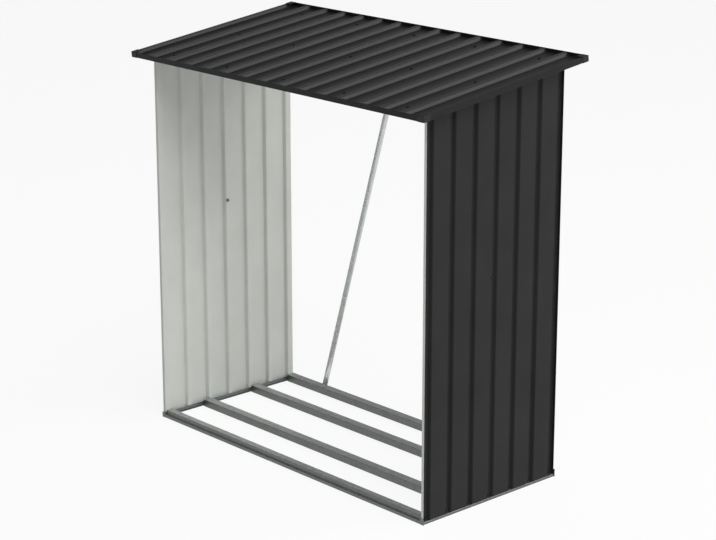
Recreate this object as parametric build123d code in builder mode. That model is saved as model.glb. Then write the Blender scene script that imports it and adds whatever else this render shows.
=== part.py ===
from build123d import *
import os
from math import atan2, cos, hypot, radians, sin, tan

# Open-sided log store: ribbed steel side walls on a rail base, under a roof that falls to the front.
# Origin on the ground under the middle of the roof, +X right, +Y back, +Z up, millimetres.

# Ribbed sheet, the same profile on walls and roof
sheet_gauge = 0.8
rib_pitch = 107.0
rib_depth = 12.0
rib_flat = 16.0  # width of a rib's flat top
rib_run = 7.0  # sideways run of each sloping flank

# Walls
wall_sheet_pitch_count = 3  # two sheets make a wall
wall_edge = 19.0  # from the middle of the last rib to the sheet's edge
sheet_rise = 10.0  # from the ground to the wall sheets' lower edges
lap_margin = 2.0  # a lapped edge stops this short of the rib's far corner

# Roof
roof_sheet_pitch_count = 5  # three sheets make the roof
roof_slope = 7.25  # degrees, rising to the back
deck_height = 1530.0  # from the ground to the underside of the roof's pans, over the middle
side_overhang = 52.5
end_overhang = 66.0

# Folded rails of the base, and the beams and rails under the roof
rail_gauge = 1.0
rail_width = 36.0
rail_height = 30.0
rail_lip = 8.0
rail_end_reach = 4.0  # front and back faces run this far past the walls
rail_clearance = 2.0  # from the wall sheets' edges to the front and back faces
sill_height = 13.0  # above this the front rail's face steps back
sill_step = 8.0
floor_rail_spacing = 254.0
side_rail_height = 22.0
side_rail_proud = 1.0  # the side rail's outer face stands this far outside the wall
beam_height = 30.0
top_rail_shelf = 25.0

# Trims and corner caps round the roof
trim_gauge = 1.0
trim_face = 21.5
trim_return = 8.0
trim_gap = 0.3
cap_leg = 30.0
cap_gauge = 1.2

# Diagonal brace across the back
brace_width = 28.0
brace_gauge = 2.0
brace_end = 12.0  # from the middle of an end bolt to the end of the strip
brace_foot_share = -0.361  # places across the width, from the middle
brace_head_share = -0.051
brace_seat_share = 0.6  # place of the bolt in the face that it goes through, from its outer edge

# Sizes that follow
wall_sheet_reach = wall_sheet_pitch_count * rib_pitch
wall_depth = 2 * (wall_sheet_reach + wall_edge)
roof_sheet_reach = roof_sheet_pitch_count * rib_pitch
roof_width = 3 * roof_sheet_reach
store_width = roof_width - 2 * side_overhang
wall_half = store_width / 2
frame_half = wall_depth / 2 + rail_clearance + rail_gauge
rib_half = rib_flat / 2
rib_foot = rib_half + rib_run
flank_angle = atan2(rib_depth, rib_run)
mitre = sheet_gauge * tan(flank_angle / 2)
web_outside = wall_half - rib_depth - sheet_gauge
web_inside = web_outside - rail_gauge
rise_angle = radians(roof_slope)
roof_half_width = roof_width / 2
roof_half_length = (wall_depth / 2 + end_overhang) / cos(rise_angle)
upright_height = beam_height / cos(rise_angle)
upright_gauge = rail_gauge / cos(rise_angle)
trim_seat = rib_depth + 2 * sheet_gauge
trim_top = trim_seat + trim_gauge
trim_low = trim_top - trim_face
side_trim_seat = rib_depth + sheet_gauge
side_trim_top = side_trim_seat + trim_gauge

# Planes of the roof: the underside of its pans, a section across it and a section along its slope.
# Their origin is moved a little up the slope, so that the leaning edges reach as far in front as behind.
roof_shift = (trim_low + trim_top + cap_gauge) / 2 * tan(rise_angle)
deck_middle = (0, roof_shift * cos(rise_angle), deck_height + roof_shift * sin(rise_angle))
along_slope = (0, cos(rise_angle), sin(rise_angle))
down_slope = (0, -cos(rise_angle), -sin(rise_angle))
deck_plane = Plane(origin=deck_middle, x_dir=(1, 0, 0), z_dir=(0, -sin(rise_angle), cos(rise_angle)))
across_plane = Plane(origin=deck_middle, x_dir=(1, 0, 0), z_dir=down_slope)
along_plane = Plane(origin=deck_middle, x_dir=along_slope, z_dir=(1, 0, 0))

os.makedirs("parts", exist_ok=True)


def finish(piece, node):
    piece.part.label = node
    export_step(piece.part, "parts/" + node + ".step")


def deck_above(depth):
    """Height of the pans' underside over a point of the base."""
    return deck_height + depth * tan(rise_angle)


def rib_line(first, pitch_count, start, end, start_lift, end_lift, outer):
    """One face of a ribbed sheet, from the top of its first rib to the top of its last."""
    skin = sheet_gauge if outer else 0
    inset = 0 if outer else mitre
    top = rib_depth + skin
    foot = rib_foot - inset
    half = rib_half - inset
    start_half = half - start_lift / tan(flank_angle)
    end_half = half - end_lift / tan(flank_angle)
    last = first + pitch_count * rib_pitch
    points = [(start, top + start_lift), (first + start_half, top + start_lift), (first + foot, skin)]
    for step in range(1, pitch_count):
        rib = first + step * rib_pitch
        points += [(rib - foot, skin), (rib - half, top), (rib + half, top), (rib + foot, skin)]
    points += [(last - foot, skin), (last - end_half, top + end_lift), (end, top + end_lift)]
    return points


def ribbed_outline(first, pitch_count, start, end, start_lift=0, end_lift=0, returned=None):
    """Closed outline of a ribbed sheet's section. A returned edge is folded back as deep as the ribs."""
    outer = rib_line(first, pitch_count, start, end, start_lift, end_lift, True)
    inner = rib_line(first, pitch_count, start, end, start_lift, end_lift, False)
    if returned == "start":
        inner[0] = (start + sheet_gauge, rib_depth)
        inner = [(start, 0), (start + sheet_gauge, 0)] + inner
    if returned == "end":
        inner[-1] = (end - sheet_gauge, rib_depth)
        inner = inner + [(end - sheet_gauge, 0), (end, 0)]
    return outer + inner[::-1]


def slope_band(below, height):
    """Closed outline, seen from the side, of a strip under the roof from the frame's front to its back."""
    front = deck_above(-frame_half) - below
    back = deck_above(frame_half) - below
    return [(-frame_half, front), (frame_half, back), (frame_half, back - height), (-frame_half, front - height)]


def channel_outline(height):
    """Closed outline of an upturned channel with a lip at the foot of each side."""
    half = rail_width / 2
    right = [(half, 0), (half - rail_lip, 0), (half - rail_lip, rail_gauge), (half - rail_gauge, rail_gauge)]
    right.append((half - rail_gauge, height - rail_gauge))
    left = [(-across, up) for across, up in right[::-1]]
    return [(half, height)] + right + left + [(-half, height)]


# Front base rail: a stepped channel between the walls, whose low face runs on and ends in upturned ears
sill_outline = [
    (0, 0),
    (0, sill_height),
    (sill_step, sill_height),
    (sill_step, rail_height),
    (rail_width, rail_height),
    (rail_width, 0),
    (rail_width - rail_lip, 0),
    (rail_width - rail_lip, rail_gauge),
    (rail_width - rail_gauge, rail_gauge),
    (rail_width - rail_gauge, rail_height - rail_gauge),
    (sill_step + rail_gauge, rail_height - rail_gauge),
    (sill_step + rail_gauge, sill_height - rail_gauge),
    (rail_gauge, sill_height - rail_gauge),
    (rail_gauge, rail_gauge),
    (rail_lip, rail_gauge),
    (rail_lip, 0),
]
face_half = wall_half + rail_end_reach
ear_width = face_half - web_inside
with BuildPart() as front_rail:
    with BuildSketch(Plane.YZ):
        Polygon([(inwards - frame_half, up) for inwards, up in sill_outline])
    extrude(amount=web_inside, both=True)
    with BuildSketch(Plane.YZ):
        with Locations((rail_gauge / 2 - frame_half, sill_height / 2)):
            Rectangle(rail_gauge, sill_height)
    extrude(amount=face_half, both=True)
    with BuildSketch(Plane.XZ.offset(frame_half)):
        with Locations(
            (ear_width / 2 - face_half, side_rail_height / 2),
            (face_half - ear_width / 2, side_rail_height / 2),
        ):
            Rectangle(ear_width, side_rail_height)
    extrude(amount=-rail_gauge)
finish(front_rail, "front_base_rail")

# Back base rail: a channel between the walls, whose outer face runs on past the walls' edges
rail_middle = frame_half - rail_width / 2
with BuildPart() as back_rail:
    with BuildSketch(Plane.YZ):
        Polygon([(rail_middle + across, up) for across, up in channel_outline(rail_height)])
    extrude(amount=web_inside, both=True)
    with BuildSketch(Plane.YZ):
        with Locations((frame_half - rail_gauge / 2, rail_height / 2)):
            Rectangle(rail_gauge, rail_height)
    extrude(amount=face_half, both=True)
finish(back_rail, "back_base_rail")

# Floor rails: two channels that carry the logs between the front and back rails
for node, facing in (("front_floor_rail", -1), ("back_floor_rail", 1)):
    with BuildPart() as floor_rail:
        with BuildSketch(Plane.YZ):
            middle = facing * floor_rail_spacing / 2
            Polygon([(middle + across, up) for across, up in channel_outline(rail_height)])
        extrude(amount=web_inside, both=True)
    finish(floor_rail, node)

# Side base rails: a low outer face, a ledge under the wall sheets and a web behind their ribs
side_rail_outside = wall_half + side_rail_proud
side_rail_outline = [
    (side_rail_outside - rail_lip, 0),
    (side_rail_outside, 0),
    (side_rail_outside, sheet_rise),
    (web_outside, sheet_rise),
    (web_outside, side_rail_height),
    (web_inside, side_rail_height),
    (web_inside, sheet_rise - rail_gauge),
    (side_rail_outside - rail_gauge, sheet_rise - rail_gauge),
    (side_rail_outside - rail_gauge, rail_gauge),
    (side_rail_outside - rail_lip, rail_gauge),
]
for node, side in (("left_base_rail", -1), ("right_base_rail", 1)):
    with BuildPart() as side_rail:
        with BuildSketch(Plane.XZ):
            Polygon([(side * out, up) for out, up in side_rail_outline])
        extrude(amount=frame_half - rail_gauge, both=True)
    finish(side_rail, node)

# Wall sheets: ribs face inwards, and the back sheet laps over the front one in the middle groove.
# The wall's front and back edges are folded back outwards.
lap_edge = rib_half - lap_margin
front_sheet = ribbed_outline(
    -wall_sheet_reach, wall_sheet_pitch_count, -wall_depth / 2, lap_edge, returned="start"
)
back_sheet = ribbed_outline(
    0, wall_sheet_pitch_count, -lap_edge, wall_depth / 2, start_lift=-sheet_gauge, returned="end"
)
wall_cut_height = deck_above(wall_depth)
for side_name, side in (("left", -1), ("right", 1)):
    wall_plane = Plane(origin=(side * wall_half, 0, sheet_rise), x_dir=(0, side, 0), z_dir=(0, 0, 1))
    for sheet_name, outline in (("front", front_sheet), ("back", back_sheet)):
        with BuildPart() as wall_sheet:
            with BuildSketch(wall_plane):
                Polygon([(side * along, inwards) for along, inwards in outline])
            extrude(amount=wall_cut_height)
            split(bisect_by=deck_plane, keep=Keep.BOTTOM)
        finish(wall_sheet, side_name + "_wall_" + sheet_name + "_sheet")

# Top rails: angles along the tops of the walls, with a shelf for the ends of the beams
for node, side in (("left_top_rail", -1), ("right_top_rail", 1)):
    with BuildPart() as top_rail:
        with BuildSketch(Plane.YZ.offset(side * web_outside)):
            Polygon(slope_band(0, upright_height + upright_gauge))
        extrude(amount=-side * rail_gauge)
        with BuildSketch(Plane.YZ.offset(side * web_outside)):
            Polygon(slope_band(upright_height, upright_gauge))
        extrude(amount=-side * top_rail_shelf)
    finish(top_rail, node)

# Roof beams: channels with upright sides and a top that follows the slope
for node, middle in (("front_roof_beam", -rail_middle), ("middle_roof_beam", 0), ("back_roof_beam", rail_middle)):
    with BuildPart() as roof_beam:
        with BuildSketch(Plane.YZ):
            section = [(middle + across, up) for across, up in channel_outline(upright_height)]
            Polygon([(depth, deck_above(depth) - upright_height + up) for depth, up in section])
        extrude(amount=web_inside, both=True)
    finish(roof_beam, node)

# Roof sheets: ribs stand up, and the middle sheet laps over its neighbours' last ribs
lap_rib = roof_sheet_reach / 2
sheet_edge = roof_half_width - trim_gauge
left_sheet = ribbed_outline(-roof_half_width, roof_sheet_pitch_count, -sheet_edge, lap_edge - lap_rib)
middle_sheet = ribbed_outline(
    -lap_rib, roof_sheet_pitch_count, -lap_rib - lap_edge, lap_rib + lap_edge, sheet_gauge, sheet_gauge
)
right_sheet = ribbed_outline(lap_rib, roof_sheet_pitch_count, lap_rib - lap_edge, sheet_edge)
for node, outline in (
    ("left_roof_sheet", left_sheet),
    ("middle_roof_sheet", middle_sheet),
    ("right_roof_sheet", right_sheet),
):
    with BuildPart() as roof_sheet:
        with BuildSketch(across_plane):
            Polygon(outline)
        extrude(amount=roof_half_length - trim_gauge, both=True)
    finish(roof_sheet, node)

# Side trims: a top that lies on the edge rib, an outer face and a return below
side_trim_outline = [
    (roof_half_width - trim_return, trim_low),
    (roof_half_width, trim_low),
    (roof_half_width, side_trim_top),
    (roof_half_width - rib_half, side_trim_top),
    (roof_half_width - rib_half, side_trim_seat),
    (roof_half_width - trim_gauge, side_trim_seat),
    (roof_half_width - trim_gauge, trim_low + trim_gauge),
    (roof_half_width - trim_return, trim_low + trim_gauge),
]
for node, side in (("left_roof_trim", -1), ("right_roof_trim", 1)):
    with BuildPart() as side_trim:
        with BuildSketch(across_plane):
            Polygon([(side * out, up) for out, up in side_trim_outline])
        extrude(amount=roof_half_length - trim_gauge, both=True)
    finish(side_trim, node)

# Front and back trims: their faces close the ends of the sheets and of the side trims, with a return below
for node, facing in (("front_roof_trim", -1), ("back_roof_trim", 1)):
    with BuildPart() as end_trim:
        with BuildSketch(along_plane):
            with Locations((facing * (roof_half_length - trim_gauge / 2), trim_top - trim_face / 2)):
                Rectangle(trim_gauge, trim_face)
        extrude(amount=roof_half_width, both=True)
        with BuildSketch(along_plane):
            with Locations((facing * (roof_half_length - trim_return / 2), trim_low + trim_gauge / 2)):
                Rectangle(trim_return, trim_gauge)
        extrude(amount=roof_half_width - trim_return - trim_gap, both=True)
    finish(end_trim, node)

# Corner caps: moulded caps over the meeting ends of the trims
cap_size = cap_leg + cap_gauge
for side_name, side in (("left", -1), ("right", 1)):
    for end_name, facing in (("front", -1), ("back", 1)):
        corner = (side * roof_half_width, facing * roof_half_length)
        outer_middle = (
            corner[0] + side * (cap_gauge - cap_size / 2),
            corner[1] + facing * (cap_gauge - cap_size / 2),
        )
        inner_middle = (corner[0] - side * cap_leg / 2, corner[1] - facing * cap_leg / 2)
        with BuildPart() as corner_cap:
            with BuildSketch(deck_plane.offset(trim_low)):
                with Locations(outer_middle):
                    Rectangle(cap_size, cap_size)
            extrude(amount=trim_face + cap_gauge)
            with BuildSketch(deck_plane.offset(trim_low)):
                with Locations(inner_middle):
                    Rectangle(cap_leg, cap_leg)
            extrude(amount=trim_face, mode=Mode.SUBTRACT)
        finish(corner_cap, end_name + "_" + side_name + "_corner_cap")

# Diagonal brace: a flat strip on the back faces of the back base rail and the back roof beam
back_plane = Plane(origin=(0, frame_half, 0), x_dir=(1, 0, 0), z_dir=(0, -1, 0))
foot = (brace_foot_share * store_width, brace_seat_share * rail_height)
head = (brace_head_share * store_width, deck_above(frame_half) - brace_seat_share * upright_height)
brace_reach = hypot(head[0] - foot[0], head[1] - foot[1])
brace_turn = atan2(head[1] - foot[1], head[0] - foot[0])
with BuildPart() as diagonal_brace:
    with BuildSketch(back_plane):
        with Locations(((foot[0] + head[0]) / 2, (foot[1] + head[1]) / 2)):
            Rectangle(brace_reach + 2 * brace_end, brace_width, rotation=brace_turn / radians(1))
    extrude(amount=-brace_gauge)
finish(diagonal_brace, "diagonal_brace")
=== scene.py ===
from math import atan2, cos, radians, sin, tan

import bmesh
import bpy
from mathutils import Matrix, Vector


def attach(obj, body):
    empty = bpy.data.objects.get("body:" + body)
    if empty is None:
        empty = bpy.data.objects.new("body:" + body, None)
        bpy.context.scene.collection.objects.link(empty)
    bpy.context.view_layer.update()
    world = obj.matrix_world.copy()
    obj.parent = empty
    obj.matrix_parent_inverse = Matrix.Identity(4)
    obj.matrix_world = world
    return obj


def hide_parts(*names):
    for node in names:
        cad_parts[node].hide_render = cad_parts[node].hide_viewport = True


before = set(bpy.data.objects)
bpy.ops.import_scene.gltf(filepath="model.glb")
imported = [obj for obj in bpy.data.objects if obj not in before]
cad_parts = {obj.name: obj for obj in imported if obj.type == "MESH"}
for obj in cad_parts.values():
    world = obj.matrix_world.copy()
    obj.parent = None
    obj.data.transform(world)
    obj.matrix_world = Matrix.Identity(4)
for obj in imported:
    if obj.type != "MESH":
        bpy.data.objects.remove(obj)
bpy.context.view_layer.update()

# Log store of folded steel sheet.
# Every sheet is drawn as its section, swept, bent at the folds and given its gauge.
# Lengths are millimetres, as in the part's source, and become metres where a point is made.
scene = bpy.context.scene
MM = 0.001

# Ribbed sheet
sheet_gauge = 0.8
rib_pitch = 107.0
rib_depth = 12.0
rib_half = 8.0
rib_run = 7.0
rib_foot = rib_half + rib_run
flank_angle = atan2(rib_depth, rib_run)
mitre = sheet_gauge * tan(flank_angle / 2)

# Walls
wall_pitch_count = 3  # in each of a wall's two sheets
wall_reach = wall_pitch_count * rib_pitch
wall_border = 19.0  # from the middle of the last groove to the sheet's edge
wall_edge = wall_reach + wall_border
wall_half = 750.0
sheet_rise = 10.0
lap_margin = 2.0
lap_edge = rib_half - lap_margin

# Roof
roof_sheet_count = 3
roof_pitch_count = 5  # in each of its sheets
roof_reach = roof_pitch_count * rib_pitch
roof_half_width = roof_sheet_count * roof_reach / 2
rise = radians(7.25)
deck_height = 1530.0
end_overhang = 66.0
roof_half_length = (wall_edge + end_overhang) / cos(rise)
lap_rib = roof_reach / 2

# Rails and beams
rail_gauge = 1.0
rail_width = 36.0
rail_height = 30.0
rail_lip = 8.0
rail_clearance = 2.0
rail_end_reach = 4.0
frame_half = wall_edge + rail_clearance + rail_gauge
rail_middle = frame_half - rail_width / 2
web_outside = wall_half - rib_depth - sheet_gauge
web_inside = web_outside - rail_gauge
face_half = wall_half + rail_end_reach
sill_height = 13.0
sill_step = 8.0
side_rail_height = 22.0
side_rail_proud = 1.0
side_rail_outside = wall_half + side_rail_proud
side_rail_half = frame_half - rail_gauge
floor_rail_spacing = 254.0
beam_depth = 30.0
beam_height = beam_depth / cos(rise)  # upright, under the sloping roof
shelf_gauge = rail_gauge / cos(rise)
shelf_reach = 25.0

# Trims and corner caps
trim_gauge = 1.0
trim_face = 21.5
trim_return = 8.0
mitre_gap = 0.3
side_trim_top = rib_depth + sheet_gauge + trim_gauge
trim_top = rib_depth + 2 * sheet_gauge + trim_gauge
trim_low = trim_top - trim_face
sheet_edge = roof_half_width - trim_gauge
sheet_half_length = roof_half_length - trim_gauge
cap_gauge = 1.2
cap_leg = 30.0
cap_round = 2.5
cap_size = cap_leg + cap_gauge
cap_height = trim_face + cap_gauge

# Diagonal brace
brace_width = 28.0
brace_gauge = 2.0
brace_end = 12.0
brace_round = 9.0
brace_edge_round = 0.4
brace_foot_share = -0.361
brace_head_share = -0.051
brace_seat_share = 0.6

# Fasteners: the flange's radius and height, then the hexagon's
screw_sizes = (5.5, 1.0, 4.0, 3.4)
lap_bolt_sizes = (6.5, 1.2, 5.2, 3.8)
nut_sizes = (6.5, 1.2, 5.8, 5.0)
lap_bolt_height = 845.0
fastener_turn = radians(37)  # each one stops at another angle
roof_screw_pitches = (-6, -3, 0, 3, 6)

# Bends and tolerances
sheet_bend = 1.5  # how far a bend reaches on each side of its fold
rail_bend = 1.6
fold_angle = radians(10)  # a flatter edge is no fold
smooth_angle = radians(35)
near = 0.1  # places this close are one place

# The roof's own directions, from the middle of the pans' underside
roof_shift = (trim_low + trim_top + cap_gauge) / 2 * tan(rise)
up_slope = Vector((0, cos(rise), sin(rise)))
off_roof = Vector((0, -sin(rise), cos(rise)))
deck_middle = Vector((0, 0, deck_height)) + roof_shift * up_slope


def roof_point(across, along, up):
    return deck_middle + Vector((across, 0, 0)) + along * up_slope + up * off_roof


def deck_above(depth):
    return deck_height + depth * tan(rise)


# Materials, with the grain of their patterns in millimetres
cloud_width = 160.0
peel_width = 4.0
peel_height = 0.4
crystal_width = 14.0
ripple_width = 20.0
ripple_height = 1.0
grit_width = 2.0
grit_height = 0.4


def linear(colour):
    """An sRGB hex colour as the linear values that a socket takes."""
    parts = [int(colour[place:place + 2], 16) / 255 for place in (1, 3, 5)]
    return [part / 12.92 if part <= 0.04045 else ((part + 0.055) / 1.055) ** 2.4 for part in parts] + [1.0]


def add(tree, kind, inputs, **settings):
    """A new node with its settings, its values and the sockets that it is linked to."""
    made = tree.nodes.new(kind)
    for name, value in settings.items():
        setattr(made, name, value)
    for name, value in inputs.items():
        if isinstance(value, bpy.types.NodeSocket):
            tree.links.new(value, made.inputs[name])
        else:
            made.inputs[name].default_value = value
    return made


def new_finish(name):
    """An empty material: its node tree, its shader and the object's own coordinates."""
    finish = bpy.data.materials.new(name)
    finish.use_nodes = True
    tree = finish.node_tree
    place = add(tree, "ShaderNodeTexCoord", {}).outputs["Object"]
    return finish, tree, tree.nodes["Principled BSDF"], place


def coated_steel(name, dark, light, roughness, specular):
    """Polyester paint baked on steel coil: even, low gloss, with a faint cloudiness and a fine orange peel.
    The peel is drawn coarser than the real one, so that it shows."""
    finish, tree, shader, place = new_finish(name)
    clouds = add(
        tree,
        "ShaderNodeTexNoise",
        {"Vector": place, "Scale": 1 / (cloud_width * MM), "Detail": 3.0, "Roughness": 0.55},
    )
    tone = add(tree, "ShaderNodeValToRGB", {"Fac": clouds.outputs["Fac"]})
    tone.color_ramp.elements[0].position = 0.3
    tone.color_ramp.elements[0].color = linear(dark)
    tone.color_ramp.elements[1].position = 0.7
    tone.color_ramp.elements[1].color = linear(light)
    tree.links.new(tone.outputs["Color"], shader.inputs["Base Color"])
    gloss = add(
        tree,
        "ShaderNodeMapRange",
        {"Value": clouds.outputs["Fac"], "To Min": roughness - 0.05, "To Max": roughness + 0.05},
    )
    tree.links.new(gloss.outputs["Result"], shader.inputs["Roughness"])
    peel = add(tree, "ShaderNodeTexNoise", {"Vector": place, "Scale": 1 / (peel_width * MM), "Detail": 1.0})
    bump = add(
        tree,
        "ShaderNodeBump",
        {"Height": peel.outputs["Fac"], "Strength": 0.06, "Distance": peel_height * MM},
    )
    tree.links.new(bump.outputs["Normal"], shader.inputs["Normal"])
    shader.inputs["Specular IOR Level"].default_value = specular
    return finish


def galvanised_steel(name, dark, light, painted_side_shade, roughness):
    """Zinc on steel: grey metal with a spangle of crystals, each with its own tone and gloss.
    Faces that do not point up are darkened with painted shade, the colour painted_side_shade; flat tops keep
    the full tone."""
    finish, tree, shader, place = new_finish(name)
    spangle = add(
        tree,
        "ShaderNodeTexVoronoi",
        {"Vector": place, "Scale": 1 / (crystal_width * MM), "Randomness": 1.0},
    )
    shade = add(tree, "ShaderNodeSeparateColor", {"Color": spangle.outputs["Color"]})
    tone = add(tree, "ShaderNodeValToRGB", {"Fac": shade.outputs["Red"]})
    tone.color_ramp.elements[0].color = linear(dark)
    tone.color_ramp.elements[1].color = linear(light)
    # Painted shade: the further a face turns from pointing up, the more painted_side_shade darkens its colour
    surface = add(tree, "ShaderNodeNewGeometry", {})
    turned = add(tree, "ShaderNodeSeparateXYZ", {"Vector": surface.outputs["Normal"]})
    side = add(
        tree, "ShaderNodeMapRange", {"Value": turned.outputs["Z"], "From Min": 0.9, "From Max": 0.5}
    )
    skin = add(
        tree,
        "ShaderNodeMix",
        {0: side.outputs["Result"], 6: tone.outputs["Color"], 7: linear(painted_side_shade)},
        data_type="RGBA",
        blend_type="MULTIPLY",
    )
    tree.links.new(skin.outputs[2], shader.inputs["Base Color"])
    gloss = add(
        tree,
        "ShaderNodeMapRange",
        {"Value": shade.outputs["Green"], "To Min": roughness - 0.04, "To Max": roughness + 0.04},
    )
    tree.links.new(gloss.outputs["Result"], shader.inputs["Roughness"])
    ripple = add(
        tree, "ShaderNodeTexNoise", {"Vector": place, "Scale": 1 / (ripple_width * MM), "Detail": 2.0}
    )
    bump = add(
        tree,
        "ShaderNodeBump",
        {"Height": ripple.outputs["Fac"], "Strength": 0.05, "Distance": ripple_height * MM},
    )
    tree.links.new(bump.outputs["Normal"], shader.inputs["Normal"])
    shader.inputs["Metallic"].default_value = 1.0
    return finish


def moulded_plastic(name, dark, light):
    """Black polypropylene from a textured mould: dull, with a fine grit drawn coarse enough to show."""
    finish, tree, shader, place = new_finish(name)
    grit = add(tree, "ShaderNodeTexNoise", {"Vector": place, "Scale": 1 / (grit_width * MM), "Detail": 2.0})
    tone = add(tree, "ShaderNodeValToRGB", {"Fac": grit.outputs["Fac"]})
    tone.color_ramp.elements[0].color = linear(dark)
    tone.color_ramp.elements[1].color = linear(light)
    tree.links.new(tone.outputs["Color"], shader.inputs["Base Color"])
    bump = add(
        tree,
        "ShaderNodeBump",
        {"Height": grit.outputs["Fac"], "Strength": 0.1, "Distance": grit_height * MM},
    )
    tree.links.new(bump.outputs["Normal"], shader.inputs["Normal"])
    shader.inputs["Roughness"].default_value = 0.55
    shader.inputs["Specular IOR Level"].default_value = 0.3
    return finish


# Paint on the outside: the roof's has the most gloss, so that the ribs' flanks catch the light
anthracite = coated_steel("anthracite_polyester_coat", "#232323", "#282828", roughness=0.38, specular=0.14)
roof_coat = coated_steel("anthracite_roof_coat", "#1f1f1f", "#242424", roughness=0.36, specular=0.27)
trim_coat = coated_steel("anthracite_trim_coat", "#1f1f1f", "#232323", roughness=0.4, specular=0.12)
# A thin primer on the sheets' backs, matt and faintly green
off_white = coated_steel("off_white_back_coat", "#d8dbd5", "#dfe2dc", roughness=0.55, specular=0.12)
# Hot-dip zinc on the rails and beams, and dark bare steel where the sheet was cut; the third colour of each
# is painted shade on the faces that do not point up
zinc = galvanised_steel("galvanised_steel_spangle", "#c0c2c3", "#cacccd", "#929292", roughness=0.42)
cut_edge = galvanised_steel("cut_steel_edge", "#6c6e70", "#7c7e80", "#f0f0f0", roughness=0.45)
cap_black = moulded_plastic("black_moulded_polypropylene", "#181818", "#202020")
# Plated zinc, bright all over on the strip and darker on the nuts; their third colour, near white, is a faint
# painted shade on the faces that do not point up
strip_zinc = galvanised_steel("zinc_plated_strip", "#d8dadb", "#e2e4e5", "#f6f6f6", roughness=0.3)
bolt_zinc = galvanised_steel("zinc_plated_bolt", "#75787a", "#85888a", "#e6e6e6", roughness=0.3)

# The finishes of a sheet's outside, inside and cut edge
wall_faces = (anthracite, off_white, cut_edge)
roof_faces = (roof_coat, off_white, cut_edge)
trim_faces = (trim_coat, trim_coat, trim_coat)
zinc_faces = (zinc, zinc, zinc)
cap_faces = (cap_black, cap_black, cap_black)


# Making folded sheet
def draw_sheet(name, section, sweep, facing):
    """Draws a section point by point, from a plane merged into its first point, and sweeps it.
    Ends in edit mode, with the outside of the first flat facing as told."""
    bpy.ops.object.select_all(action="DESELECT")
    bpy.ops.mesh.primitive_plane_add(size=0.01, location=section[0] * MM)
    piece = bpy.context.object
    piece.name = name
    bpy.ops.object.transform_apply(location=True, rotation=False, scale=False)
    bpy.ops.object.mode_set(mode="EDIT")
    bpy.ops.mesh.select_mode(type="VERT")
    bpy.ops.mesh.merge(type="CENTER")
    for before, after in zip(section, section[1:]):
        bpy.ops.mesh.extrude_region_move(TRANSFORM_OT_translate={"value": (after - before) * MM})
    bpy.ops.mesh.select_all(action="SELECT")
    bpy.ops.mesh.extrude_region_move(TRANSFORM_OT_translate={"value": sweep * MM})
    bpy.ops.mesh.select_all(action="SELECT")
    bpy.ops.mesh.normals_make_consistent(inside=False)
    mesh = bmesh.from_edit_mesh(piece.data)
    start = section[0].lerp(section[1], 0.5) * MM
    first = min(mesh.faces, key=lambda face: (face.calc_center_median() - start - sweep * MM / 2).length)
    if first.normal.dot(facing) < 0:
        bpy.ops.mesh.flip_normals()
    return piece


def pick_edges(piece, wanted):
    """Selects the edges for which wanted(edge) is true."""
    bpy.ops.mesh.select_mode(type="EDGE")
    bpy.ops.mesh.select_all(action="DESELECT")
    mesh = bmesh.from_edit_mesh(piece.data)
    for edge in mesh.edges:
        if wanted(edge):
            edge.select_set(True)
    bmesh.update_edit_mesh(piece.data)


def move_corner(piece, corner, step):
    """Moves the one point of a sheet that lies at the corner told."""
    bpy.ops.mesh.select_mode(type="VERT")
    bpy.ops.mesh.select_all(action="DESELECT")
    mesh = bmesh.from_edit_mesh(piece.data)
    min(mesh.verts, key=lambda vert: (vert.co - corner * MM).length).select_set(True)
    bmesh.update_edit_mesh(piece.data)
    bpy.ops.transform.translate(value=step * MM)


def is_fold(edge):
    return len(edge.link_faces) == 2 and edge.calc_face_angle() > fold_angle


def ends_of(edge):
    return [vert.co / MM for vert in edge.verts]


def thicken(piece, gauge, faces):
    """Gives a drawn sheet its gauge, away from its outside.
    Its flats keep a flat shade, and only the bends are shaded round."""
    for finish in faces:
        piece.data.materials.append(finish)
    shell = piece.modifiers.new("gauge", "SOLIDIFY")
    shell.thickness = gauge * MM
    shell.offset = -1.0
    shell.use_even_offset = True
    shell.material_offset = 1
    shell.material_offset_rim = 2
    bpy.ops.object.modifier_apply(modifier=shell.name)
    bpy.ops.object.shade_smooth_by_angle(angle=smooth_angle)
    flats = piece.modifiers.new("flats", "WEIGHTED_NORMAL")
    flats.mode = "FACE_AREA"
    flats.weight = 100
    flats.keep_sharp = True
    bpy.ops.object.modifier_apply(modifier=flats.name)


def hand_over(piece, node=None):
    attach(piece, "root")
    if node:
        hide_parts(node)


def fold_sheet(piece, bend, gauge, faces, node):
    """Bends a drawn sheet at its folds, gives it its gauge and hands it over."""
    pick_edges(piece, is_fold)
    bpy.ops.mesh.bevel(offset=bend * MM, segments=3, affect="EDGES")
    bpy.ops.object.mode_set(mode="OBJECT")
    thicken(piece, gauge, faces)
    hand_over(piece, node)


def fold_rail(node, points, sweep, facing):
    rail = draw_sheet("folded_" + node, points, sweep, facing)
    fold_sheet(rail, rail_bend, rail_gauge, zinc_faces, node)


def rib_section(first, pitch_count, start, end, start_lift, end_lift, skin, inset):
    """One face of a ribbed sheet, from the top of its first rib to the top of its last.
    Each point is a place along the sheet and a height."""
    top = rib_depth + skin
    foot = rib_foot - inset
    half = rib_half - inset
    start_half = half - start_lift / tan(flank_angle)
    end_half = half - end_lift / tan(flank_angle)
    last = first + pitch_count * rib_pitch
    points = [(start, top + start_lift), (first + start_half, top + start_lift), (first + foot, skin)]
    for step in range(1, pitch_count):
        rib = first + step * rib_pitch
        points += [(rib - foot, skin), (rib - half, top), (rib + half, top), (rib + foot, skin)]
    return points + [(last - foot, skin), (last - end_half, top + end_lift), (end, top + end_lift)]


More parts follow.
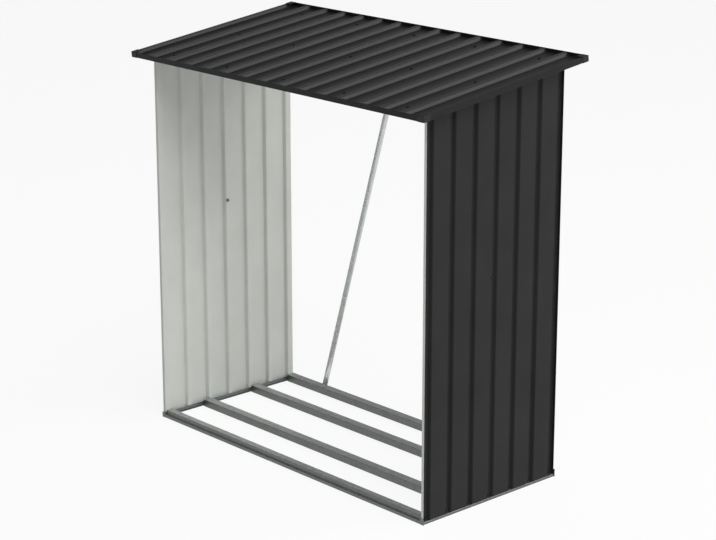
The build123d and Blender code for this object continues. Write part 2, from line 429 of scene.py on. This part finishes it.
# Wall sheets, drawn along their coated outside, with the outer edges folded back
folded_edge = wall_edge - sheet_gauge
front_wall_section = rib_section(-wall_reach, wall_pitch_count, -folded_edge, lap_edge, 0, 0, 0, mitre)
front_wall_section.insert(0, (-folded_edge, 0))
back_wall_section = rib_section(0, wall_pitch_count, -lap_edge, folded_edge, -sheet_gauge, 0, 0, mitre)
back_wall_section.append((folded_edge, 0))
for side_name, side in (("left", -1), ("right", 1)):
    for sheet_name, section, facing in (
        ("front", front_wall_section, Vector((0, 1, 0))),
        ("back", back_wall_section, Vector((side, 0, 0))),
    ):
        node = side_name + "_wall_" + sheet_name + "_sheet"
        points = [Vector((side * (wall_half - inwards), along, sheet_rise)) for along, inwards in section]
        wall = draw_sheet("ribbed_" + node, points, Vector((0, 0, deck_above(2 * wall_edge))), facing)
        bpy.ops.mesh.select_all(action="SELECT")
        bpy.ops.mesh.bisect(plane_co=deck_middle * MM, plane_no=off_roof, clear_outer=True)
        fold_sheet(wall, sheet_bend, sheet_gauge, wall_faces, node)

# Roof sheets, drawn along their upper face
for node, first, start, end, lift in (
    ("left_roof_sheet", -roof_half_width, -sheet_edge, lap_edge - lap_rib, 0),
    ("middle_roof_sheet", -lap_rib, -lap_rib - lap_edge, lap_rib + lap_edge, sheet_gauge),
    ("right_roof_sheet", lap_rib, lap_rib - lap_edge, sheet_edge, 0),
):
    section = rib_section(first, roof_pitch_count, start, end, lift, lift, sheet_gauge, 0)
    points = [roof_point(across, -sheet_half_length, up) for across, up in section]
    roof = draw_sheet("ribbed_" + node, points, 2 * sheet_half_length * up_slope, off_roof)
    fold_sheet(roof, sheet_bend, sheet_gauge, roof_faces, node)

# Side trims, and the front and back trims whose returns are mitred to them
for side_name, side in (("left", -1), ("right", 1)):
    node = side_name + "_roof_trim"
    section = (
        (roof_half_width - trim_return, trim_low),
        (roof_half_width, trim_low),
        (roof_half_width, side_trim_top),
        (roof_half_width - rib_half, side_trim_top),
    )
    points = [roof_point(side * across, -sheet_half_length, up) for across, up in section]
    trim = draw_sheet("folded_" + node, points, 2 * sheet_half_length * up_slope, -off_roof)
    for end in (-1, 1):
        corner = roof_point(side * (roof_half_width - trim_return), end * sheet_half_length, trim_low)
        move_corner(trim, corner, -end * trim_return * up_slope)
    fold_sheet(trim, rail_bend, trim_gauge, trim_faces, node)
for end_name, facing in (("front", -1), ("back", 1)):
    node = end_name + "_roof_trim"
    section = (
        (roof_half_length, trim_top),
        (roof_half_length, trim_low),
        (roof_half_length - trim_return, trim_low),
    )
    points = [roof_point(-roof_half_width, facing * along, up) for along, up in section]
    trim = draw_sheet("folded_" + node, points, Vector((2 * roof_half_width, 0, 0)), facing * up_slope)
    for end in (-1, 1):
        corner = roof_point(end * roof_half_width, facing * (roof_half_length - trim_return), trim_low)
        move_corner(trim, corner, Vector((-end * (trim_return + mitre_gap), 0, 0)))
    fold_sheet(trim, rail_bend, trim_gauge, trim_faces, node)

# Corner caps: a moulded block, open below and towards the roof, and rounded outside
cap_reach = cap_gauge - cap_size / 2
for side_name, side in (("left", -1), ("right", 1)):
    for end_name, facing in (("front", -1), ("back", 1)):
        node = end_name + "_" + side_name + "_corner_cap"
        across = side * (roof_half_width + cap_reach)
        along = facing * (roof_half_length + cap_reach)
        middle = roof_point(across, along, trim_low + cap_height / 2)
        bpy.ops.object.select_all(action="DESELECT")
        bpy.ops.mesh.primitive_cube_add(size=1.0, location=middle * MM, rotation=(rise, 0, 0))
        cap = bpy.context.object
        cap.name = "moulded_" + node
        cap.scale = Vector((cap_size, cap_size, cap_height)) * MM
        bpy.ops.object.transform_apply(location=True, rotation=True, scale=True)
        bpy.ops.object.mode_set(mode="EDIT")
        bpy.ops.mesh.select_mode(type="FACE")
        bpy.ops.mesh.select_all(action="DESELECT")
        mesh = bmesh.from_edit_mesh(cap.data)
        outwards = (off_roof, Vector((side, 0, 0)), facing * up_slope)
        for face in mesh.faces:
            is_outside = any(face.normal.dot(way) > 0.5 for way in outwards)
            face.select_set(not is_outside)
        bmesh.update_edit_mesh(cap.data)
        bpy.ops.mesh.delete(type="FACE")
        pick_edges(cap, is_fold)
        bpy.ops.mesh.bevel(offset=cap_round * MM, segments=4, affect="EDGES")
        bpy.ops.object.mode_set(mode="OBJECT")
        thicken(cap, cap_gauge, cap_faces)
        hand_over(cap, node)


# Base rails and floor rails
def channel_section(middle, height):
    half = rail_width / 2
    right = [(middle + half - rail_lip, 0), (middle + half, 0), (middle + half, height)]
    left = [(2 * middle - depth, up) for depth, up in right[::-1]]
    return right + left


def lengthen_face(rail, outside, side, face_height, ear_height):
    """Draws a rail's outer face on past the rail's end, and up to the ear's height where that is more."""

    def is_face_end(edge):
        return all(
            abs(end.y - outside) < near and abs(end.x - side * web_inside) < near for end in ends_of(edge)
        )

    def is_ear_top(edge):
        at_top = all(abs(end.y - outside) < near and abs(end.z - face_height) < near for end in ends_of(edge))
        past_end = all(end.x * side > web_inside - near for end in ends_of(edge))
        return at_top and past_end and len(edge.link_faces) == 1

    pick_edges(rail, is_face_end)
    reach = side * (face_half - web_inside)
    bpy.ops.mesh.extrude_region_move(TRANSFORM_OT_translate={"value": (reach * MM, 0, 0)})
    if ear_height > face_height:
        pick_edges(rail, is_ear_top)
        bpy.ops.mesh.extrude_region_move(
            TRANSFORM_OT_translate={"value": (0, 0, (ear_height - face_height) * MM)}
        )


rail_sweep = Vector((2 * web_inside, 0, 0))
for node, middle in (
    ("front_floor_rail", -floor_rail_spacing / 2),
    ("back_floor_rail", floor_rail_spacing / 2),
):
    points = [Vector((-web_inside, depth, up)) for depth, up in channel_section(middle, rail_height)]
    fold_rail(node, points, rail_sweep, Vector((0, 0, -1)))

front_rail_section = (
    (rail_width - rail_lip - frame_half, 0),
    (rail_width - frame_half, 0),
    (rail_width - frame_half, rail_height),
    (sill_step - frame_half, rail_height),
    (sill_step - frame_half, sill_height),
    (-frame_half, sill_height),
    (-frame_half, 0),
    (rail_lip - frame_half, 0),
)
back_rail_section = channel_section(rail_middle, rail_height)
for node, section, outside, face_height, ear_height in (
    ("front_base_rail", front_rail_section, -frame_half, sill_height, side_rail_height),
    ("back_base_rail", back_rail_section, frame_half, rail_height, rail_height),
):
    points = [Vector((-web_inside, depth, up)) for depth, up in section]
    rail = draw_sheet("folded_" + node, points, rail_sweep, Vector((0, 0, -1)))
    for side in (-1, 1):
        lengthen_face(rail, outside, side, face_height, ear_height)
    fold_sheet(rail, rail_bend, rail_gauge, zinc_faces, node)

side_rail_section = (
    (side_rail_outside - rail_lip, 0),
    (side_rail_outside, 0),
    (side_rail_outside, sheet_rise),
    (web_outside, sheet_rise),
    (web_outside, side_rail_height),
)
for node, side in (("left_base_rail", -1), ("right_base_rail", 1)):
    points = [Vector((side * out, -side_rail_half, up)) for out, up in side_rail_section]
    fold_rail(node, points, Vector((0, 2 * side_rail_half, 0)), Vector((0, 0, -1)))

# Top rails and roof beams
top_rail_high = deck_above(-frame_half)
top_rail_low = top_rail_high - beam_height - shelf_gauge
top_rail_sweep = Vector((0, 2 * frame_half, 2 * frame_half * tan(rise)))
for node, side in (("left_top_rail", -1), ("right_top_rail", 1)):
    points = [
        Vector((side * web_outside, -frame_half, top_rail_high)),
        Vector((side * web_outside, -frame_half, top_rail_low)),
        Vector((side * (web_outside - shelf_reach), -frame_half, top_rail_low)),
    ]
    fold_rail(node, points, top_rail_sweep, Vector((side, 0, 0)))
for node, middle in (
    ("front_roof_beam", -rail_middle),
    ("middle_roof_beam", 0),
    ("back_roof_beam", rail_middle),
):
    points = [
        Vector((-web_inside, depth, deck_above(depth) - beam_height + up))
        for depth, up in channel_section(middle, beam_height)
    ]
    fold_rail(node, points, rail_sweep, Vector((0, 0, -1)))

# Diagonal brace: a flat strip with rounded ends
brace_foot = Vector((brace_foot_share * 2 * wall_half, frame_half, brace_seat_share * rail_height))
brace_top = deck_above(frame_half) - brace_seat_share * beam_height
brace_head = Vector((brace_head_share * 2 * wall_half, frame_half, brace_top))
brace_turn = atan2(brace_head.z - brace_foot.z, brace_head.x - brace_foot.x)
brace_length = (brace_head - brace_foot).length + 2 * brace_end
brace_middle = (brace_foot + brace_head) / 2 + Vector((0, brace_gauge / 2, 0))
bpy.ops.object.select_all(action="DESELECT")
bpy.ops.mesh.primitive_cube_add(size=1.0, location=brace_middle * MM, rotation=(0, -brace_turn, 0))
brace = bpy.context.object
brace.name = "strip_diagonal_brace"
brace.scale = Vector((brace_length, brace_gauge, brace_width)) * MM
bpy.ops.object.transform_apply(location=True, rotation=True, scale=True)
bpy.ops.object.mode_set(mode="EDIT")
pick_edges(brace, lambda edge: edge.calc_length() < (brace_gauge + near) * MM)
bpy.ops.mesh.bevel(offset=brace_round * MM, segments=6, affect="EDGES")
pick_edges(brace, lambda edge: is_fold(edge) and abs(edge.verts[0].co.y - edge.verts[1].co.y) < near * MM)
bpy.ops.mesh.bevel(offset=brace_edge_round * MM, segments=2, affect="EDGES")
bpy.ops.object.mode_set(mode="OBJECT")
brace.data.materials.append(strip_zinc)
bpy.ops.object.shade_smooth_by_angle(angle=smooth_angle)
hand_over(brace, "diagonal_brace")


# Fasteners: a flanged hexagon head, modelled once for each size and copied
def flanged_head(name, sizes, finish):
    """Stands on the origin and points up."""
    flange_radius, flange_height, head_radius, head_height = sizes
    head_round = flange_height / 3
    flange_middle = flange_height / 2
    head_middle = flange_height + head_height / 2
    bpy.ops.object.select_all(action="DESELECT")
    bpy.ops.mesh.primitive_cylinder_add(
        vertices=24, radius=flange_radius * MM, depth=flange_height * MM, location=(0, 0, flange_middle * MM)
    )
    head = bpy.context.object
    head.name = name
    bpy.ops.object.transform_apply(location=True, rotation=False, scale=False)
    bpy.ops.object.mode_set(mode="EDIT")
    bpy.ops.mesh.primitive_cylinder_add(
        vertices=6, radius=head_radius * MM, depth=head_height * MM, location=(0, 0, head_middle * MM)
    )
    for top in (flange_height, flange_height + head_height):
        pick_edges(head, lambda edge: is_fold(edge) and all(abs(end.z - top) < near for end in ends_of(edge)))
        bpy.ops.mesh.bevel(offset=head_round * MM, segments=2, affect="EDGES")
    bpy.ops.object.mode_set(mode="OBJECT")
    head.data.materials.append(finish)
    bpy.ops.object.shade_smooth_by_angle(angle=smooth_angle)
    return head


def set_fasteners(name, pattern, places):
    """One piece of copies of a fastener, each at its place, pointing its way and turned on its axis."""
    bpy.ops.object.select_all(action="DESELECT")
    for count, (place, way) in enumerate(places):
        copy = pattern.copy()
        copy.data = pattern.data.copy()
        stand = Vector((0, 0, 1)).rotation_difference(way).to_matrix().to_4x4()
        turn = Matrix.Rotation(fastener_turn * count, 4, "Z")
        copy.data.transform(Matrix.Translation(place * MM) @ stand @ turn)
        scene.collection.objects.link(copy)
        copy.select_set(True)
        bpy.context.view_layer.objects.active = copy
    bpy.ops.object.join()
    fixed = bpy.context.object
    fixed.name = name
    hand_over(fixed)


sheet_screw = flanged_head("sheet_screw", screw_sizes, anthracite)
lap_bolt = flanged_head("lap_bolt", lap_bolt_sizes, anthracite)
lap_nut = flanged_head("lap_nut", nut_sizes, bolt_zinc)

# Screws in the walls' grooves at the base and under the roof, and a bolt with its nut where the sheets lap
groove_floor = wall_half - rib_depth
low_screw_height = (sheet_rise + side_rail_height) / 2
for side_name, side in (("left", -1), ("right", 1)):
    outwards = Vector((side, 0, 0))
    places = []
    for step in range(-wall_pitch_count, wall_pitch_count + 1):
        groove = step * rib_pitch
        seat = side * (groove_floor + (sheet_gauge if step == 0 else 0))
        high_screw_height = deck_above(groove) - beam_height / 2
        places.append((Vector((seat, groove, low_screw_height)), outwards))
        places.append((Vector((seat, groove, high_screw_height)), outwards))
    set_fasteners(side_name + "_wall_screws", sheet_screw, places)
    bolt_place = Vector((side * (groove_floor + sheet_gauge), 0, lap_bolt_height))
    set_fasteners(side_name + "_wall_lap_bolt", lap_bolt, [(bolt_place, outwards)])
    nut_place = Vector((side * (groove_floor - sheet_gauge), 0, lap_bolt_height))
    set_fasteners(side_name + "_wall_lap_nut", lap_nut, [(nut_place, -outwards)])

# Screws through the roof's pans into the beams, and nuts behind the brace
places = []
for beam_middle in (-rail_middle, 0, rail_middle):
    along = (beam_middle - deck_middle.y) / cos(rise)
    for step in roof_screw_pitches:
        places.append((roof_point(step * rib_pitch, along, sheet_gauge), off_roof))
set_fasteners("roof_screws", sheet_screw, places)
behind = Vector((0, 1, 0))
places = [(bolt + brace_gauge * behind, behind) for bolt in (brace_foot, brace_head)]
set_fasteners("brace_bolts", lap_nut, places)
for pattern in (sheet_screw, lap_bolt, lap_nut):
    bpy.data.objects.remove(pattern)

# Floor and backdrop, in metres. The camera and reflections see them white, and as light they are dimmer.
floor_width = 80.0
floor_drop = 0.0005
floor_white_share = 0.9  # the rest shows the shadow
backdrop_top = radians(10)
ceiling_start = radians(18)
ceiling_level = 0.17
front_light_level = 0.07
back_light_level = 0.52


def grey(level):
    return (level, level, level, 1.0)


def background_rays(tree):
    """A socket that is 1 for the camera and for what it sees in metal and glass, and 0 for other light."""
    rays = add(tree, "ShaderNodeLightPath", {}).outputs
    seen = add(
        tree, "ShaderNodeMath", {0: rays["Is Camera Ray"], 1: rays["Is Glossy Ray"]}, operation="ADD"
    )
    seen = add(
        tree, "ShaderNodeMath", {0: seen.outputs[0], 1: rays["Is Transmission Ray"]}, operation="ADD"
    )
    return seen.outputs[0]


bpy.ops.object.select_all(action="DESELECT")
bpy.ops.mesh.primitive_plane_add(size=floor_width, location=(0, 0, -floor_drop))
floor = bpy.context.object
floor.name = "pale_floor"
pale = bpy.data.materials.new("pale_floor_paint")
pale.use_nodes = True
tree = pale.node_tree
shader = tree.nodes["Principled BSDF"]
shader.inputs["Base Color"].default_value = linear("#f6f6f6")
shader.inputs["Roughness"].default_value = 0.9
shader.inputs["Specular IOR Level"].default_value = 0.0
share = add(tree, "ShaderNodeMath", {0: background_rays(tree), 1: floor_white_share}, operation="MULTIPLY")
white = add(tree, "ShaderNodeEmission", {"Color": grey(1.0), "Strength": 1.0})
both = add(tree, "ShaderNodeMixShader", {0: share.outputs[0], 1: shader.outputs[0], 2: white.outputs[0]})
tree.links.new(both.outputs[0], tree.nodes["Material Output"].inputs["Surface"])
floor.data.materials.append(pale)

world = bpy.data.worlds.new("studio")
scene.world = world
world.use_nodes = True
tree = world.node_tree
way = add(tree, "ShaderNodeTexCoord", {})
height = add(tree, "ShaderNodeSeparateXYZ", {"Vector": way.outputs["Generated"]})
sky = add(tree, "ShaderNodeValToRGB", {"Fac": height.outputs["Z"]})
sky.color_ramp.elements[0].position = sin(backdrop_top)
sky.color_ramp.elements[0].color = grey(1.0)
sky.color_ramp.elements[1].position = sin(ceiling_start)
sky.color_ramp.elements[1].color = grey(ceiling_level)
depth = add(tree, "ShaderNodeMapRange", {"Value": height.outputs["Y"], "From Min": -1.0, "From Max": 1.0})
fill = add(tree, "ShaderNodeValToRGB", {"Fac": depth.outputs["Result"]})
fill.color_ramp.elements[0].color = grey(front_light_level)
fill.color_ramp.elements[1].color = grey(back_light_level)
both = add(
    tree,
    "ShaderNodeMix",
    {0: background_rays(tree), 6: fill.outputs["Color"], 7: sky.outputs["Color"]},
    data_type="RGBA",
)
tree.links.new(both.outputs[2], tree.nodes["Background"].inputs["Color"])
tree.nodes["Background"].inputs["Strength"].default_value = 1.0

# Lamps, aimed at the middle of the store, in metres and watts
store_middle = Vector((0, 0, 0.8))


def softbox(name, way, distance, size, power):
    lamp = bpy.data.lights.new(name, "AREA")
    lamp.shape = "SQUARE"
    lamp.size = size
    lamp.energy = power
    holder = bpy.data.objects.new(name, lamp)
    scene.collection.objects.link(holder)
    holder.location = store_middle + Vector(way).normalized() * distance
    holder.rotation_mode = "QUATERNION"
    holder.rotation_quaternion = (store_middle - holder.location).to_track_quat("-Z", "Y")


softbox("side_softbox", way=(0.9, 0.1, 0.42), distance=9.0, size=6.0, power=165.0)
softbox("front_softbox", way=(0.58, -0.26, 0.77), distance=9.0, size=5.0, power=345.0)
softbox("back_softbox", way=(0.53, 0.55, 0.645), distance=9.4, size=5.0, power=260.0)

# Camera, to the right of the open front and looking down on the roof
view_place = Vector((5.6921, -5.1975, 2.9803))
view_down = radians(16.402)
view_turn = radians(47.404)
view_focal = 106.37  # millimetres, as the sensor's width
lens = bpy.data.cameras.new("view")
lens.sensor_width = 36.0
lens.lens = view_focal
viewer = bpy.data.objects.new("view", lens)
scene.collection.objects.link(viewer)
viewer.location = view_place
viewer.rotation_euler = (radians(90) - view_down, 0, view_turn)
scene.camera = viewer
scene.view_settings.view_transform = "Standard"
